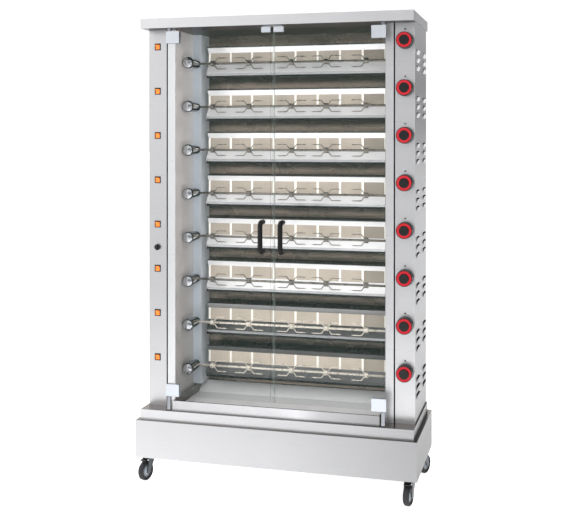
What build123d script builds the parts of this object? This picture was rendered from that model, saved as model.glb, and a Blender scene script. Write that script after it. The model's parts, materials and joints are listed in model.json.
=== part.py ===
"""Gas chicken rotisserie on castors: eight spits, eight burners, two glass doors and a drip tray.

Millimetres, +Z up, front towards -Y. The origin lies on the floor under the middle of the whole.
"""
import os
from math import sqrt

from build123d import *

os.makedirs("parts", exist_ok=True)

# Working allowances
cut_over = 1
sheet = 2
running_gap = 0.3
seat_gap = 0.1

# Castors and plinth
castor_height = 107
plinth_width = 1180
plinth_depth = 484
plinth_height = 155
plinth_front_ledge = 18
gusset_size = 130
gusset_thick = 3

# Deck and canopy, twin folded pans
deck_width = 1150
deck_depth = 437
deck_height = 42
canopy_height = 41
column_height = 1599

# Columns and chamber
column_half_width = 569.5
column_setback = 81
column_depth = 351
panel_width = 80
panel_gap = 6
chamber_half_width = 450
chamber_back_depth = 405
return_flange = 20
rear_flange = 50
toe_height = 24
toe_step = 1.5
shield_width = 37
shield_depth = 105
shield_foot_rise = 46

# Levels
level_count = 8
level_pitch = 189
first_spit_rise = 142
spit_depth = 250
control_rise = 63

# Spits and their bearings
spit_radius = 5
spit_left_reach = 478
spit_right_reach = 446
head_x = 424
head_front_depth = 150
head_rear_depth = 262
head_front_radius = 25
head_rear_radius = 20
head_dome = 14
head_boss_radius = 13
wall_bore_radius = 8
rest_length = 14
rest_half_width = 12
rest_below = 16
rest_above = 10
fork_place_shares = (-0.39, 0.035, 0.375)
end_fork_place_share = 0.76
fork_hub_radius = 12
fork_hub_length = 17
fork_reach = 66
fork_spread = 24
fork_bend = 24
fork_wire = 4
fork_point = 10
thumb_screw_radius = 3.5
thumb_screw_length = 22

# Gear motors behind the left wall
gearbox_size = 64
gearbox_length = 38
motor_radius = 26
motor_length = 45

# Burners
burner_left = 385
plaque_depth = 320
plaque_thick = 13
plaque_width = 90
plaque_joint = 9
plaque_count = 8
plaque_bottom_rise = 1
plaque_height = 51
upper_lip_rise = 28
upper_lip_out = 20
lower_lip_drop = 41
lower_lip_out = 32
lower_flange_drop = 20
lower_flange_back = 3
plenum_wall = 3

# Gas train in the right column
manifold_radius = 11
manifold_depth = 150
manifold_end = 60
valve_width = 34
valve_height = 30
valve_front_depth = 97
feed_radius = 7
feed_bend = 22

# Controls
control_x = 530
knob_radius = 34
knob_taper = 1.5
knob_depth = 36
knob_standoff = 1
knob_ring_thick = 3
knob_ring_inner = 20
knob_grip_radius = 19
knob_grip_proud = 7
knob_edge = 1.5
knob_shaft_radius = 4
sight_rise = 46
sight_radius = 3.5
bezel_width = 26
bezel_height = 29
bezel_thick = 2.5
bezel_rim = 3.3
switch_body_depth = 24
rocker_width = 18
rocker_half_height = 9.8
rocker_front = 7
rocker_hollow = 3
rocker_back = 6
rocker_back_half = 7
rocker_pivot_depth = 3
rocker_tilt = 8
lamp_switch_radius = 12.5
lamp_switch_depth = 15
lamp_switch_height = 978
lamp_shaft_radius = 3
lamp_body_radius = 14

# Louvres on the column sides
louvre_length = 75
louvre_height = 16
louvre_proud = 6
louvre_slot_length = 71
louvre_wall_rise = 4
louvre_rows = 3
louvre_row_pitch = 33
louvre_columns = 2
louvre_column_pitch = 200
louvre_centre_depth = 263
louvre_drop = 13

# Doors
door_plane_depth = 20
glass_thick = 6
door_bottom_rise = 60
door_top_gap = 14
clamp_width = 58
clamp_height = 50
clamp_thick = 20
clamp_wall = 3
door_outer_reach = 464
left_door_inner = 10
right_door_inner = 3
pivot_inset = 12
pivot_pin_radius = 4
pivot_pin_length = 11
post_size = 14
post_gap = 3
catch_left_reach = 49
catch_right_reach = 45
catch_height = 22
catch_proud = 7
catch_thick = 14
catch_block_half = 40
seal_reach = 5
seal_grip = 12
seal_wall = 1.5
handle_x = 42
handle_height = 1041
handle_length = 140
handle_radius = 10
handle_bend = 16
handle_reach = 54

# Drip tray
tray_half_width = 437
tray_front_depth = 18
tray_back_depth = 400
tray_height = 40
tray_slope_depth = 70
tray_lip = 8

# Castors
castor_inset_x = 36
castor_inset_front = 70
castor_inset_rear = 69
castor_trail = 28
castor_plate_length = 66
castor_plate_width = 92
castor_plate_thick = 4
wheel_radius = 40
wheel_width = 26
wheel_edge = 5
hub_radius = 11
axle_radius = 4
fork_gap = 2
leg_thick = 3
swivel_radius = 24
swivel_height = 8
kingpin_radius = 6
pedal_pivot_trail = 12
pedal_pivot_height = 88
pedal_pin_radius = 2.5
pedal_reach = 50
pedal_drop = 4
pedal_thick = 3
pedal_eye_radius = 4.5
castor_angles = (-105, -98, 60, 72)

# Heights and depths worked out from the above
plinth_top = castor_height + plinth_height
deck_top = plinth_top + deck_height
column_top = deck_top + column_height
canopy_top = column_top + canopy_height
handle_overhang = handle_reach + glass_thick / 2 - door_plane_depth - plinth_front_ledge
plinth_front = -(plinth_depth + handle_overhang) / 2 + handle_overhang
plinth_back = plinth_front + plinth_depth
front = plinth_front + plinth_front_ledge
column_front = front + column_setback
column_back = column_front + column_depth
chamber_back_y = front + chamber_back_depth
spit_y = front + spit_depth
door_y = front + door_plane_depth
panel_inner = column_half_width - panel_width
jamb_outer = panel_inner - panel_gap
spit_heights = [deck_top + first_spit_rise + level * level_pitch for level in range(level_count)]
control_heights = [height + control_rise for height in spit_heights]
door_bottom = deck_top + door_bottom_rise
door_top = column_top - door_top_gap
pivot_x = door_outer_reach - pivot_inset
column_span = (deck_top, column_top)
toe_z = (deck_top, deck_top + toe_height)


def block(x, y, z, mode=Mode.ADD):
    """Add or cut a block between two limits along each axis."""
    with Locations(((x[0] + x[1]) / 2, (y[0] + y[1]) / 2, (z[0] + z[1]) / 2)):
        Box(abs(x[1] - x[0]), abs(y[1] - y[0]), abs(z[1] - z[0]), mode=mode)


def plate(x, y):
    """Add a rectangle between two limits to the sketch in hand."""
    with Locations(((x[0] + x[1]) / 2, (y[0] + y[1]) / 2)):
        Rectangle(abs(x[1] - x[0]), abs(y[1] - y[0]))


def rod(start, end, radius, mode=Mode.ADD):
    """Add or cut a round bar from one point to another."""
    line = Vector(*end) - Vector(*start)
    with BuildSketch(Plane(origin=start, z_dir=line)) as section:
        Circle(radius)
    extrude(to_extrude=section.sketch, amount=line.length, mode=mode)


def save(builder, name):
    """Label a finished piece and write it."""
    builder.part.label = name
    export_step(builder.part, f"parts/{name}.step")


# Plinth: a folded box open below, with corner gussets that carry the castor plates
with BuildPart() as base_plinth:
    half_w = plinth_width / 2
    block((-half_w, half_w), (plinth_front, plinth_back), (castor_height, plinth_top))
    block(
        (-half_w + sheet, half_w - sheet),
        (plinth_front + sheet, plinth_back - sheet),
        (castor_height - cut_over, plinth_top - sheet),
        Mode.SUBTRACT,
    )
    for side_x in (-1, 1):
        for gusset_y in ((plinth_front, plinth_front + gusset_size), (plinth_back - gusset_size, plinth_back)):
            gusset_x = (side_x * half_w, side_x * (half_w - gusset_size))
            block(gusset_x, gusset_y, (castor_height, castor_height + gusset_thick))
castor_x = plinth_width / 2 - castor_inset_x
castor_front_y = plinth_front + castor_inset_front
castor_rear_y = plinth_back - castor_inset_rear
castor_places = [
    (-castor_x, castor_front_y),
    (castor_x, castor_front_y),
    (-castor_x, castor_rear_y),
    (castor_x, castor_rear_y),
]
with BuildPart() as castor_plates:
    plate_z = castor_height - castor_plate_thick / 2
    with Locations(*[(x, y, plate_z) for x, y in castor_places]):
        Box(castor_plate_length, castor_plate_width, castor_plate_thick)
        Cylinder(kingpin_radius + running_gap, castor_plate_thick + cut_over, mode=Mode.SUBTRACT)
plinth_group = Compound(children=[base_plinth.part, castor_plates.part])
plinth_group.label = "base_plinth"
export_step(plinth_group, "parts/base_plinth.step")


def folded_pan(low, high):
    """A shallow pan folded from sheet, open below, on the deck's plan."""
    with BuildPart() as pan:
        half_w = deck_width / 2
        ends_y = (front, front + deck_depth)
        block((-half_w, half_w), ends_y, (low, high))
        block(
            (-half_w + sheet, half_w - sheet),
            (ends_y[0] + sheet, ends_y[1] - sheet),
            (low - cut_over, high - sheet),
            Mode.SUBTRACT,
        )
    return pan


# Deck and canopy pans, the canopy closed below by a ceiling sheet
base_deck = folded_pan(plinth_top, deck_top)
save(base_deck, "base_deck")
canopy_pan = folded_pan(column_top, canopy_top)
with BuildPart() as ceiling:
    half_w = deck_width / 2 - sheet
    block((-half_w, half_w), (front + sheet, front + deck_depth - sheet), (column_top, column_top + sheet))
canopy = Compound(children=[canopy_pan.part, ceiling.part])
canopy.label = "canopy"
export_step(canopy, "parts/canopy.step")


def louvres(side):
    """Pressed louvres on a column's side: hoods that open upwards over a slot, in rows at every level."""
    face_x = side * column_half_width
    tip_x = side * (column_half_width + louvre_proud)
    bite_x = side * (column_half_width - sheet / 2)
    slot_x = side * (column_half_width - sheet - cut_over)
    low = -louvre_height / 2
    high = louvre_height / 2
    hood = [(bite_x, low), (face_x, low), (tip_x, high), (bite_x, high)]
    slot = [(slot_x, low + louvre_wall_rise), (tip_x, high + louvre_wall_rise), (slot_x, high + louvre_wall_rise)]
    rows = [
        (0, height - louvre_drop + (row - (louvre_rows - 1) / 2) * louvre_row_pitch)
        for height in spit_heights
        for row in range(louvre_rows)
    ]
    for corners, run, mode in ((hood, louvre_length, Mode.ADD), (slot, louvre_slot_length, Mode.SUBTRACT)):
        with BuildSketch(Plane.XZ.offset(-(front + louvre_centre_depth))) as outline:
            with Locations(*rows):
                Polygon(*corners, align=None)
        for column in range(louvre_columns):
            shift = (column - (louvre_columns - 1) / 2) * louvre_column_pitch
            outlines = outline.sketch.moved(Location((0, shift, 0)))
            extrude(to_extrude=outlines, amount=run / 2, both=True, mode=mode)


def switch_openings():
    """Cut the left panel for the rocker switches and the lamp switch's shaft."""
    for height in control_heights:
        block(
            (-control_x - bezel_width / 2 + bezel_rim / 2, -control_x + bezel_width / 2 - bezel_rim / 2),
            (column_front - cut_over, column_front + sheet + cut_over),
            (height - bezel_height / 2 + bezel_rim / 2, height + bezel_height / 2 - bezel_rim / 2),
            Mode.SUBTRACT,
        )
    lamp_start = (-control_x, column_front - cut_over, lamp_switch_height)
    lamp_end = (-control_x, column_front + sheet + cut_over, lamp_switch_height)
    rod(lamp_start, lamp_end, lamp_shaft_radius + running_gap, Mode.SUBTRACT)


def tap_openings():
    """Cut the right panel for the tap shafts, with a sight hole above each knob."""
    for height in control_heights:
        for rise, radius in ((0, knob_shaft_radius + running_gap), (sight_rise, sight_radius)):
            hole_start = (control_x, column_front - cut_over, height + rise)
            hole_end = (control_x, column_front + sheet + cut_over, height + rise)
            rod(hole_start, hole_end, radius, Mode.SUBTRACT)


def column_casing(side, cut_openings):
    """A column: front panel with a folded inner edge, outer side and rear flange, one bent sheet."""
    with BuildPart() as casing:
        with BuildSketch(Plane.XY.offset(deck_top)):
            outer = side * column_half_width
            inner = side * panel_inner
            plate((inner, outer), (column_front, column_front + sheet))
            plate((outer - side * sheet, outer), (column_front, column_back))
            plate((outer - side * rear_flange, outer), (column_back - sheet, column_back))
            plate((inner, inner + side * sheet), (column_front, column_front + return_flange))
        extrude(amount=column_height)
        block((inner, outer), (column_front, column_front + sheet), toe_z, Mode.SUBTRACT)
        block((inner, outer), (column_front + toe_step, column_front + toe_step + sheet), toe_z)
        louvres(side)
        cut_openings()
    return casing


save(column_casing(-1, switch_openings), "left_column")
save(column_casing(1, tap_openings), "right_column")


def chamber_wall(side, bore_y, bore_heights, bore_radius):
    """A chamber wall with its door jamb folded from one sheet, bored at every level."""
    with BuildPart() as wall:
        inner = side * chamber_half_width
        outer = side * jamb_outer
        with BuildSketch(Plane.XY.offset(deck_top)):
            plate((inner, outer), (column_front, column_front + sheet))
            plate((inner, inner + side * sheet), (column_front, chamber_back_y))
            plate((outer - side * sheet, outer), (column_front, column_front + return_flange))
        extrude(amount=column_height)
        for height in bore_heights:
            bore_start = (inner - side * cut_over, bore_y, height)
            bore_end = (inner + side * (sheet + cut_over), bore_y, height)
            rod(bore_start, bore_end, bore_radius, Mode.SUBTRACT)
    return wall


feed_y = front + (plaque_depth + plaque_thick + chamber_back_depth) / 2
feed_rise = plaque_bottom_rise + plaque_height / 2
feed_heights = [height + feed_rise for height in spit_heights]
save(chamber_wall(-1, spit_y, spit_heights, wall_bore_radius), "left_chamber_wall")
save(chamber_wall(1, feed_y, feed_heights, feed_radius + running_gap), "right_chamber_wall")

# Chamber back and the outer rear cover
with BuildPart() as chamber_back:
    half_w = chamber_half_width + sheet
    block((-half_w, half_w), (chamber_back_y, chamber_back_y + sheet), column_span)
save(chamber_back, "chamber_back")
with BuildPart() as rear_cover:
    half_w = column_half_width - rear_flange
    block((-half_w, half_w), (column_back - sheet, column_back), column_span)
save(rear_cover, "rear_cover")

# Polished shield that closes the chamber's rear left corner beside the burners
with BuildPart() as corner_shield:
    shield_front = chamber_back_y - shield_depth
    shield_edge = -chamber_half_width + shield_width
    with BuildSketch(Plane.XY.offset(deck_top + shield_foot_rise)):
        plate((-chamber_half_width, shield_edge), (shield_front, shield_front + sheet))
        plate((shield_edge - sheet, shield_edge), (shield_front, chamber_back_y))
    extrude(amount=column_height - shield_foot_rise)
save(corner_shield, "corner_shield")

# Burner housings: one folded section per level, with reflector lips round the plaque row
plaque_y = front + plaque_depth
burner_length = burner_left + chamber_half_width
plaque_pitch = plaque_width + plaque_joint
blank_x = (-burner_left + plaque_count * plaque_pitch + plaque_joint, chamber_half_width)
with BuildPart() as burner_housings:
    upper = plaque_bottom_rise + plaque_height
    lower = plaque_bottom_rise
    flange_top = lower - lower_lip_drop
    flange_end = flange_top - lower_flange_drop
    flange_y = plaque_y - lower_lip_out
    with BuildSketch(Plane.YZ.offset(-burner_left)):
        with Locations(*[(0, height) for height in spit_heights]):
            Polygon(
                (plaque_y - upper_lip_out, upper + upper_lip_rise),
                (plaque_y, upper),
                (plaque_y + plaque_thick, upper),
                (plaque_y + plaque_thick, lower),
                (plaque_y, lower),
                (flange_y, flange_top),
                (flange_y + lower_flange_back, flange_end),
                (flange_y + lower_flange_back + sheet, flange_end),
                (flange_y + sheet, flange_top),
                (plaque_y + sheet, lower - plenum_wall),
                (chamber_back_y, lower - plenum_wall),
                (chamber_back_y, upper + plenum_wall),
                (plaque_y + sheet, upper + plenum_wall),
                (plaque_y - upper_lip_out + sheet, upper + upper_lip_rise),
                align=None,
            )
    extrude(amount=burner_length)
    plenum_ends = (-burner_left + plenum_wall, chamber_half_width - plenum_wall)
    plenum_y = (plaque_y + plaque_thick, chamber_back_y - plenum_wall)
    for height in spit_heights:
        block(plenum_ends, plenum_y, (height + lower, height + upper), Mode.SUBTRACT)
        feed_start = (chamber_half_width - plenum_wall - cut_over, feed_y, height + feed_rise)
        feed_end = (chamber_half_width + cut_over, feed_y, height + feed_rise)
        rod(feed_start, feed_end, feed_radius, Mode.SUBTRACT)
        block(blank_x, (plaque_y, plaque_y + plaque_thick), (height + lower, height + upper))
save(burner_housings, "burner_housings")

# Ceramic plaques in a row, with a fibre joint strip beside each
plaque_z = plaque_bottom_rise + plaque_height / 2
with BuildPart() as ceramic_plaques:
    first_plaque = -burner_left + plaque_joint + plaque_width / 2
    middle_y = plaque_y + plaque_thick / 2
    plaque_places = [
        (first_plaque + column * plaque_pitch, middle_y, height + plaque_z)
        for height in spit_heights
        for column in range(plaque_count)
    ]
    with Locations(*plaque_places):
        Box(plaque_width, plaque_thick, plaque_height)
with BuildPart() as plaque_joints:
    joint_places = [
        (-burner_left + plaque_joint / 2 + column * plaque_pitch, middle_y, height + plaque_z)
        for height in spit_heights
        for column in range(plaque_count + 1)
    ]
    with Locations(*joint_places):
        Box(plaque_joint, plaque_thick, plaque_height)
plaque_group = Compound(children=ceramic_plaques.part.solids() + plaque_joints.part.solids())
plaque_group.label = "ceramic_plaques"
export_step(plaque_group, "parts/ceramic_plaques.step")

# Left spit heads: domed tapering bearing housings that stand off the wall and point to the front
with BuildPart() as spit_heads:
    for height in spit_heights:
        axis_plane = Plane(origin=(-head_x, front, height), x_dir=(1, 0, 0), z_dir=(0, 0, 1))
        with BuildSketch(axis_plane):
            with BuildLine():
                shoulder = head_front_depth + head_dome
                Polyline(
                    (head_front_radius, shoulder),
                    (head_rear_radius, head_rear_depth),
                    (0, head_rear_depth),
                    (0, head_front_depth),
                )
                EllipticalCenterArc((0, shoulder), head_front_radius, head_dome, start_angle=270, arc_size=90)
            make_face()
        revolve(axis=Axis((-head_x, front, height), (0, 1, 0)))
        boss_start = (-chamber_half_width, spit_y, height)
        rod(boss_start, (-head_x, spit_y, height), head_boss_radius)
        bore_end = (-head_x + head_front_radius + cut_over, spit_y, height)
        rod((-chamber_half_width - cut_over, spit_y, height), bore_end, spit_radius + running_gap, Mode.SUBTRACT)

# Right spit rests: blocks on the wall with a notch that is open above
with BuildPart() as spit_rests:
    for height in spit_heights:
        rest_x = (chamber_half_width - rest_length, chamber_half_width)
        block(
            rest_x,
            (spit_y - rest_half_width, spit_y + rest_half_width),
            (height - rest_below, height + rest_above),
        )
        notch = spit_radius + running_gap
        notch_x = (rest_x[0] - cut_over, rest_x[1] + cut_over)
        rod((notch_x[0], spit_y, height), (notch_x[1], spit_y, height), notch, Mode.SUBTRACT)
        notch_z = (height, height + rest_above + cut_over)
        block(notch_x, (spit_y - notch, spit_y + notch), notch_z, Mode.SUBTRACT)
spit_bearings = Compound(children=spit_heads.part.solids() + spit_rests.part.solids())
spit_bearings.label = "spit_bearings"
export_step(spit_bearings, "parts/spit_bearings.step")

# Gear motors on the outside of the left wall, one per spit
with BuildPart() as gear_motors:
    gearbox_face = -chamber_half_width - sheet
    gearbox_rear = gearbox_face - gearbox_length
    for height in spit_heights:
        block(
            (gearbox_rear, gearbox_face),
            (spit_y - gearbox_size / 2, spit_y + gearbox_size / 2),
            (height - gearbox_size / 2, height + gearbox_size / 2),
        )
        rod((gearbox_rear, spit_y, height), (gearbox_rear - motor_length, spit_y, height), motor_radius)
        socket_end = (-spit_left_reach - running_gap, spit_y, height)
        socket_start = (gearbox_face + cut_over, spit_y, height)
        rod(socket_start, socket_end, spit_radius + running_gap, Mode.SUBTRACT)
save(gear_motors, "gear_motors")

# Gas train: an upright manifold, a tap behind each knob and a feed pipe to each burner
with BuildPart() as gas_manifold:
    pipe_y = front + manifold_depth
    pipe_low = (control_x, pipe_y, control_heights[0] - manifold_end)
    pipe_high = (control_x, pipe_y, control_heights[-1] + manifold_end)
    rod(pipe_low, pipe_high, manifold_radius)
gas_pieces = gas_manifold.part.solids()
for height in control_heights:
    with BuildPart() as gas_tap:
        tap_face = front + valve_front_depth
        tap_rear = pipe_y - manifold_radius - seat_gap
        block(
            (control_x - valve_width / 2, control_x + valve_width / 2),
            (tap_face, tap_rear),
            (height - valve_height / 2, height + valve_height / 2),
        )
        bore_end = tap_face + knob_shaft_radius * 2
        bore_radius = knob_shaft_radius + running_gap
        rod((control_x, tap_face - cut_over, height), (control_x, bore_end, height), bore_radius, Mode.SUBTRACT)
    feed_x = control_x - valve_width / 2
    tap_y = (tap_face + tap_rear) / 2
    feed_z = height - control_rise + feed_rise
    corner_x = (feed_x + chamber_half_width + sheet) / 2
    with BuildPart() as feed_pipe:
        with BuildLine() as feed_path:
            FilletPolyline(
                (feed_x, tap_y, height),
                (corner_x, tap_y, height),
                (corner_x, feed_y, feed_z),
                (chamber_half_width - plenum_wall, feed_y, feed_z),
                radius=feed_bend / 2,
            )
        with BuildSketch(Plane(origin=feed_path.line @ 0, z_dir=feed_path.line % 0)):
            Circle(feed_radius)
        sweep()
    gas_pieces += gas_tap.part.solids() + feed_pipe.part.solids()
gas_train = Compound(children=gas_pieces)
gas_train.label = "gas_train"
export_step(gas_train, "parts/gas_train.step")

# Door posts: pivot sockets on the deck and under the canopy, and the catch block between the doors
post_half = post_size / 2
pivot_hole = pivot_pin_radius + running_gap
with BuildPart() as door_posts:
    for side in (-1, 1):
        post_x = (side * pivot_x - post_half, side * pivot_x + post_half)
        post_y = (door_y - post_half, door_y + post_half)
        low_top = door_bottom - post_gap
        high_foot = door_top + post_gap
        block(post_x, post_y, (deck_top, low_top))
        block(post_x, post_y, (high_foot, column_top))
        hole_depth = pivot_pin_length + running_gap - post_gap
        low_hole = (side * pivot_x, door_y, low_top - hole_depth)
        rod(low_hole, (side * pivot_x, door_y, low_top + cut_over), pivot_hole, Mode.SUBTRACT)
        high_hole = (side * pivot_x, door_y, high_foot + hole_depth)
        rod((side * pivot_x, door_y, high_foot - cut_over), high_hole, pivot_hole, Mode.SUBTRACT)
    catch_top = door_top + catch_proud
    block(
        (-catch_block_half, catch_block_half),
        (door_y - catch_thick / 2, door_y + catch_thick / 2),
        (catch_top + running_gap, column_top),
    )
save(door_posts, "door_posts")

# Doors: frameless glass with corner pivot clamps, a catch plate and a bow handle
glass_y = (door_y - glass_thick / 2, door_y + glass_thick / 2)


def door_glass(side, inner):
    """The glass of one door, held inside its corner clamps."""
    with BuildPart() as glass:
        glass_x = (side * (door_outer_reach - clamp_wall), side * inner)
        block(glass_x, glass_y, (door_bottom + sheet, door_top - sheet))
    return glass


def door_fittings(side, catch_inner, catch_outer):
    """Two corner clamps with their pivot pins, and the catch plate on the top corner."""
    with BuildPart() as fittings:
        clamp_x = (side * door_outer_reach, side * (door_outer_reach - clamp_width))
        clamp_y = (door_y - clamp_thick / 2, door_y + clamp_thick / 2)
        low_end = (side * pivot_x, door_y, door_bottom - pivot_pin_length)
        high_end = (side * pivot_x, door_y, door_top + pivot_pin_length)
        block(clamp_x, clamp_y, (door_bottom, door_bottom + clamp_height))
        block(clamp_x, clamp_y, (door_top - clamp_height, door_top))
        rod((side * pivot_x, door_y, door_bottom), low_end, pivot_pin_radius)
        rod((side * pivot_x, door_y, door_top), high_end, pivot_pin_radius)
        block(
            (side * catch_inner, side * catch_outer),
            (door_y - catch_thick / 2, door_y + catch_thick / 2),
            (door_top + catch_proud - catch_height, door_top + catch_proud),
        )
        block(
            (side * (door_outer_reach - clamp_wall), side * (catch_inner - cut_over)),
            glass_y,
            (door_bottom + sheet, door_top - sheet),
            Mode.SUBTRACT,
        )
    return fittings


def door_handle(side):
    """A bow handle: one round bar bent back to the glass at both ends and screwed through it."""
    bar_x = side * handle_x
    bar_y = glass_y[0] - handle_reach + handle_radius
    low = handle_height - handle_length / 2 + handle_radius
    high = handle_height + handle_length / 2 - handle_radius
    with BuildPart() as handle:
        with BuildLine() as bow:
            FilletPolyline(
                (bar_x, glass_y[0], low),
                (bar_x, bar_y, low),
                (bar_x, bar_y, high),
                (bar_x, glass_y[0], high),
                radius=handle_bend,
            )
        with BuildSketch(Plane(origin=bow.line @ 0, z_dir=bow.line % 0)):
            Circle(handle_radius)
        sweep()
    return handle


save(door_glass(-1, left_door_inner), "left_door_glass")
save(door_glass(1, right_door_inner), "right_door_glass")
save(door_fittings(-1, left_door_inner, catch_left_reach), "left_door_fittings")
save(door_fittings(1, right_door_inner, catch_right_reach), "right_door_fittings")
save(door_handle(-1), "left_door_handle")
save(door_handle(1), "right_door_handle")

# Clear seal that grips the right door's meeting edge and covers the gap
with BuildPart() as door_seal:
    seal_y = (glass_y[0] - seal_wall, glass_y[1] + seal_wall)
    seal_z = (door_bottom + sheet, door_top + catch_proud - catch_height - seat_gap)
    block((-seal_reach, seal_grip - right_door_inner), seal_y, seal_z)
    slot_z = (seal_z[0] - cut_over, seal_z[1] + cut_over)
    block((right_door_inner, seal_grip), glass_y, slot_z, Mode.SUBTRACT)
save(door_seal, "door_seal")

# Spits: a round bar with clamped forks, double ones between the birds and single ones at the ends


def fork_outline(hub_x, reach_signs):
    """Flat outline of a fork: prongs that leave the hub at a slant and run along the bar."""
    half = fork_wire / 2
    for toward in reach_signs:
        for up in (-1, 1):
            Polygon(
                (hub_x, up * (spit_radius + half)),
                (hub_x + toward * fork_hub_length / 2, up * (spit_radius + half)),
                (hub_x + toward * fork_bend, up * (fork_spread - half)),
                (hub_x + toward * (fork_reach - fork_point), up * (fork_spread - half)),
                (hub_x + toward * fork_reach, up * fork_spread),
                (hub_x + toward * (fork_reach - fork_point), up * (fork_spread + half)),
                (hub_x + toward * fork_bend, up * (fork_spread + half)),
                (hub_x, up * (fork_hub_radius - half / 2)),
                align=None,
            )


def spit_fork(hub_x, height, reach_signs, screw_up):
    """One fork: a bored hub with prongs and a thumb screw that locks it on the bar."""
    with BuildPart() as fork:
        hub_half = fork_hub_length / 2
        axis_start = (hub_x - hub_half, spit_y, height)
        axis_end = (hub_x + hub_half, spit_y, height)
        with BuildSketch(Plane.XZ.offset(-spit_y)):
            with Locations((0, height)):
                fork_outline(hub_x, reach_signs)
        extrude(amount=fork_wire / 2, both=True)
        rod(axis_start, axis_end, fork_hub_radius)
        screw_end = (hub_x, spit_y - screw_up * thumb_screw_length, height)
        rod((hub_x, spit_y, height), screw_end, thumb_screw_radius)
        bore = spit_radius + seat_gap
        bore_start = (hub_x - hub_half - cut_over, spit_y, height)
        bore_end = (hub_x + hub_half + cut_over, spit_y, height)
        rod(bore_start, bore_end, bore, Mode.SUBTRACT)
    return fork.part.solids()


for level, height in enumerate(spit_heights):
    with BuildPart() as spit_bar:
        rod((-spit_left_reach, spit_y, height), (spit_right_reach, spit_y, height), spit_radius)
    pieces = spit_bar.part.solids()
    for share in fork_place_shares:
        pieces += spit_fork(share * chamber_half_width, height, (-1, 1), 1)
    for end in (-1, 1):
        pieces += spit_fork(end * end_fork_place_share * chamber_half_width, height, (-end,), 1)
    spit = Compound(children=pieces)
    spit.label = f"spit_{level + 1}"
    export_step(spit, f"parts/spit_{level + 1}.step")

# Knobs: a tapered skirt with a coloured ring let into its face, a raised grip and the tap shaft
for level, height in enumerate(control_heights):
    knob_back = column_front - knob_standoff
    knob_face = knob_back - knob_depth
    with BuildPart() as knob_body:
        knob_plane = Plane(origin=(control_x, 0, height), x_dir=(1, 0, 0), z_dir=(0, 0, 1))
        with BuildSketch(knob_plane):
            Polygon(
                (0, knob_back),
                (knob_radius, knob_back),
                (knob_radius - knob_taper, knob_face + knob_edge),
                (knob_radius - knob_taper - knob_edge, knob_face),
                (knob_radius - knob_taper - 2 * knob_edge, knob_face),
                (knob_radius - knob_taper - 2 * knob_edge, knob_face + knob_ring_thick),
                (knob_ring_inner, knob_face + knob_ring_thick),
                (knob_ring_inner, knob_face),
                (knob_grip_radius, knob_face - knob_grip_proud + knob_edge),
                (knob_grip_radius - knob_edge, knob_face - knob_grip_proud),
                (0, knob_face - knob_grip_proud),
                align=None,
            )
        revolve(axis=Axis((control_x, 0, height), (0, 1, 0)))
        shaft_end = (control_x, front + valve_front_depth + knob_shaft_radius, height)
        rod((control_x, knob_back, height), shaft_end, knob_shaft_radius)
    with BuildPart() as knob_ring:
        ring_outer = knob_radius - knob_taper - 2 * knob_edge - seat_gap
        with BuildSketch(Plane.XZ.offset(-(knob_face + knob_ring_thick))):
            with Locations((control_x, height)):
                Circle(ring_outer)
                Circle(knob_ring_inner + seat_gap, mode=Mode.SUBTRACT)
        extrude(amount=knob_ring_thick)
    knob = Compound(children=knob_body.part.solids() + knob_ring.part.solids())
    knob.label = f"knob_{level + 1}"
    export_step(knob, f"parts/knob_{level + 1}.step")

# Switch bezels with their bodies behind the panel, and the lamp switch's body
opening_x = bezel_width / 2 - bezel_rim
opening_z = bezel_height / 2 - bezel_rim
with BuildPart() as switch_bezels:
    for height in control_heights:
        bezel_x = (-control_x - bezel_width / 2, -control_x + bezel_width / 2)
        bezel_z = (height - bezel_height / 2, height + bezel_height / 2)
        block(bezel_x, (column_front - bezel_thick, column_front), bezel_z)
        body_inset = bezel_rim / 2 + seat_gap
        block(
            (bezel_x[0] + body_inset, bezel_x[1] - body_inset),
            (column_front, column_front + switch_body_depth),
            (bezel_z[0] + body_inset, bezel_z[1] - body_inset),
        )
        block(
            (-control_x - opening_x, -control_x + opening_x),
            (column_front - bezel_thick - cut_over, column_front + switch_body_depth - sheet),
            (height - opening_z, height + opening_z),
            Mode.SUBTRACT,
        )
    lamp_body = (-control_x, column_front + sheet, lamp_switch_height)
    lamp_back = (-control_x, column_front + sheet + switch_body_depth, lamp_switch_height)
    rod(lamp_body, lamp_back, lamp_body_radius)
    lamp_bore_end = (-control_x, column_front + switch_body_depth / 2 + running_gap, lamp_switch_height)
    lamp_bore = lamp_shaft_radius + running_gap
    rod((-control_x, column_front, lamp_switch_height), lamp_bore_end, lamp_bore, Mode.SUBTRACT)
save(switch_bezels, "switch_bezels")

# Rockers, drawn tilted to their off side about a pivot just behind the panel
for level, height in enumerate(control_heights):
    with BuildPart() as rocker:
        pivot_y = column_front + rocker_pivot_depth
        with BuildSketch(Plane(origin=(-control_x, pivot_y, height), x_dir=(0, 1, 0), z_dir=(1, 0, 0))):
            with Locations(Rotation(0, 0, rocker_tilt)):
                Polygon(
                    (-rocker_front, -rocker_half_height),
                    (-rocker_front + rocker_hollow, 0),
                    (-rocker_front, rocker_half_height),
                    (0, rocker_half_height),
                    (rocker_back, rocker_back_half),
                    (rocker_back, -rocker_back_half),
                    (0, -rocker_half_height),
                    align=None,
                )
        extrude(amount=rocker_width / 2, both=True)
    save(rocker, f"rocker_{level + 1}")

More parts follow.
